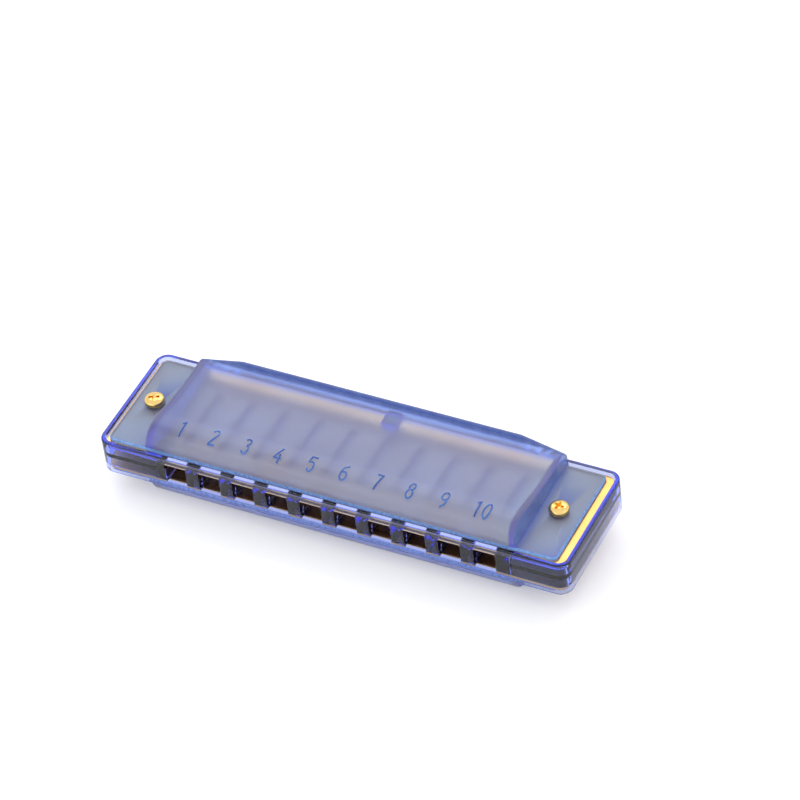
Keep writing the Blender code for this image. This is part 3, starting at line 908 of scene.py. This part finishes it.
def build_nut(side, material):
    low, high = NUT_BOXES[side]
    x = (low.x + high.x) / 2
    flats = (high.x - low.x) / 2
    corner = flats / math.cos(math.pi / 6)
    bm = bmesh.new()
    middle = Vector((x, 0, (low.z + high.z) / 2)) * MM
    place = Matrix.Translation(middle) @ Matrix.Rotation(math.pi / 6, 4, "Z")
    bmesh.ops.create_cone(
        bm, cap_ends=True, segments=6, radius1=corner * MM, radius2=corner * MM,
        depth=(high.z - low.z) * MM, matrix=place,
    )
    nut = scratch_object(bm, f"nut_{side}_fine")
    chamfer = bmesh.new()
    face, beyond = corner - NUT_CHAMFER, corner + NUT_CHAMFER_DROP
    lathe_into(chamfer, [
        (0.0, high.z + 0.01), (face, high.z + 0.01), (beyond, high.z - NUT_CHAMFER_DROP),
        (beyond, low.z + NUT_CHAMFER_DROP), (face, low.z - 0.01), (0.0, low.z - 0.01),
    ], x, 0)
    bore = bmesh.new()
    cylinder_into(bore, x, 0, NUT_BORE_RADIUS, low.z - BEYOND, high.z + BEYOND)
    carve(nut, [("INTERSECT", chamfer), ("DIFFERENCE", bore)])
    soften(nut, 0.06, 2, 35.0)
    return dress(nut, material, replaces=(f"nut_{side}",), sharp=40.0)


def build_reeds(reed_material, rivet_material):
    """Each reed tapers a little towards its tip; each rivet has a domed head."""
    for kind, toward in (("blow", -1), ("draw", 1)):
        for index in range(HOLES):
            number = f"{index + 1:02d}"
            low, high = node_box(f"{kind}_reed_{number}")
            pad_end = high.y if toward < 0 else low.y
            clamp = pad_end + toward * PAD_LENGTH
            tip = low.y if toward < 0 else high.y
            x = hole_x(index)
            pad, root, end = PAD_WIDTH / 2, REED_WIDTH / 2, REED_WIDTH / 2 * REED_TAPER
            corner = PAD_CORNER
            outline = [
                (-pad, pad_end + toward * corner), (-pad + corner, pad_end), (pad - corner, pad_end),
                (pad, pad_end + toward * corner), (pad, clamp - toward * corner), (root, clamp),
                (end, tip), (-end, tip), (-root, clamp), (-pad, clamp - toward * corner),
            ]
            bm = bmesh.new()
            rings_into(bm, [[(x + px, py, z) for px, py in outline] for z in (low.z, high.z)])
            reed = scratch_object(bm, f"{kind}_reed_{number}_fine")
            hole = bmesh.new()
            spot = clamp - toward * PAD_LENGTH / 2
            cylinder_into(hole, x, spot, RIVET_HOLE_RADIUS, low.z - BEYOND, high.z + BEYOND, 24)
            carve(reed, [("DIFFERENCE", hole)])
            soften(reed, 0.03, 1, 40.0)
            dress(reed, reed_material, f"{kind}_reed_{number}_body", (f"{kind}_reed_{number}",))

            low, high = node_box(f"{kind}_rivet_{number}")
            y = (low.y + high.y) / 2
            radius = (high.x - low.x) / 2
            profile = []
            for step in range(7):
                angle = math.pi / 2 * step / 6
                profile.append((radius * math.sin(angle), low.z + RIVET_DOME * (1 - math.cos(angle))))
            profile += [
                (RIVET_RADIUS, low.z + RIVET_DOME + 0.01), (RIVET_RADIUS, high.z - RIVET_CHAMFER),
                (RIVET_RADIUS - RIVET_CHAMFER, high.z), (0.0, high.z),
            ]
            bm = bmesh.new()
            lathe_into(bm, profile, x, y, 24)
            node = f"{kind}_rivet_{number}"
            finish_mesh(f"{node}_fine", bm, rivet_material, "base", (node,), sharp=45.0)


# ---------------------------------------------------------------------------------------------- stage


def build_stage():
    bm = bmesh.new()
    bmesh.ops.create_grid(bm, x_segments=1, y_segments=1, size=4.0)
    mesh = bpy.data.meshes.new("table")
    bm.to_mesh(mesh)
    bm.free()
    table = bpy.data.objects.new("table", mesh)
    table.location.z = cad_low.z - 0.0002
    mesh.materials.append(table_white())
    bpy.context.scene.collection.objects.link(table)


def add_area(name, location, target, size, power, color=(1.0, 1.0, 1.0)):
    light = bpy.data.lights.new(name, "AREA")
    light.shape = "RECTANGLE"
    light.size, light.size_y = size
    light.energy = power
    light.color = color
    obj = bpy.data.objects.new(name, light)
    obj.location = location
    obj.rotation_mode = "QUATERNION"
    obj.rotation_quaternion = (Vector(location) - Vector(target)).to_track_quat("Z", "Y")
    bpy.context.scene.collection.objects.link(obj)


def build_light():
    world = bpy.data.worlds.new("studio")
    world.use_nodes = True
    world.node_tree.nodes["Background"].inputs["Color"].default_value = (1.0, 1.0, 1.0, 1.0)
    world.node_tree.nodes["Background"].inputs["Strength"].default_value = 1.0
    bpy.context.scene.world = world
    add_area("softbox_back", (-0.15, 0.45, 0.5), (0, 0, 0), (0.7, 0.35), 0.8)
    add_area("softbox_right", (0.5, 0.05, 0.35), (0, 0, 0), (0.3, 0.5), 0.12)
    add_area("softbox_front", (-0.25, -0.5, 0.35), (0, 0, 0), (0.5, 0.25), 0.25)
    bpy.context.scene.view_settings.view_transform = "Standard"


def build_camera():
    azimuth, elevation = math.radians(CAMERA_AZIMUTH), math.radians(CAMERA_ELEVATION)
    level_share = math.cos(elevation)
    back = Vector((
        math.sin(azimuth) * level_share, -math.cos(azimuth) * level_share, math.sin(elevation)
    ))
    data = bpy.data.cameras.new("camera")
    data.lens = CAMERA_LENS
    data.sensor_width = 36.0
    data.clip_start, data.clip_end = 0.05, 20.0
    camera = bpy.data.objects.new("camera", data)
    camera.location = (Vector(CAMERA_TARGET) + back * CAMERA_DISTANCE) * MM
    camera.rotation_mode = "QUATERNION"
    level = (-back).to_track_quat("-Z", "Y")
    roll = Matrix.Rotation(math.radians(CAMERA_ROLL), 3, "Z").to_quaternion()
    camera.rotation_quaternion = level @ roll
    bpy.context.scene.collection.objects.link(camera)
    bpy.context.scene.camera = camera


def main():
    clear_blue = clear_blue_plastic()
    frosted = frosted_blue_plastic()
    plate_brass = brass(
        "rolled_plate_brass", (0.88, 0.46, 0.13), (0.97, 0.62, 0.24), (0.22, 0.38), (0.15, 3.0, 1.0)
    )
    reed_brass = brass(
        "rolled_reed_brass", (0.72, 0.46, 0.20), (0.88, 0.62, 0.32), (0.2, 0.36), (3.0, 0.2, 1.0)
    )
    polished = brass(
        "bright_turned_brass", (0.88, 0.58, 0.17), (0.98, 0.72, 0.30), (0.08, 0.2), (1.0, 1.0, 1.0)
    )

    build_comb(clear_blue)
    numeral = numeral_groove_shade_plastic()
    # painted glow for the rounded edges and painted shade for the end walls and the lip
    glow_and_shade_plastics = (painted_edge_glow_plastic(), painted_shade_blue_plastic())
    build_cover("top_cover_frosted", "top_cover", frosted, 0.0, False, numeral, glow_and_shade_plastics)
    build_cover("bottom_cover_frosted", "bottom_cover", frosted, LOWER_COVER_FORWARD, True, None, glow_and_shade_plastics)
    for side in ("left", "right"):
        build_screw(side, polished)
        build_nut(side, polished)
    build_reeds(reed_brass, polished)
    for name in ("upper_reed_plate", "lower_reed_plate"):
        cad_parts[name].data.materials.clear()
        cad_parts[name].data.materials.append(plate_brass)
    build_stage()
    build_light()
    build_camera()


main()
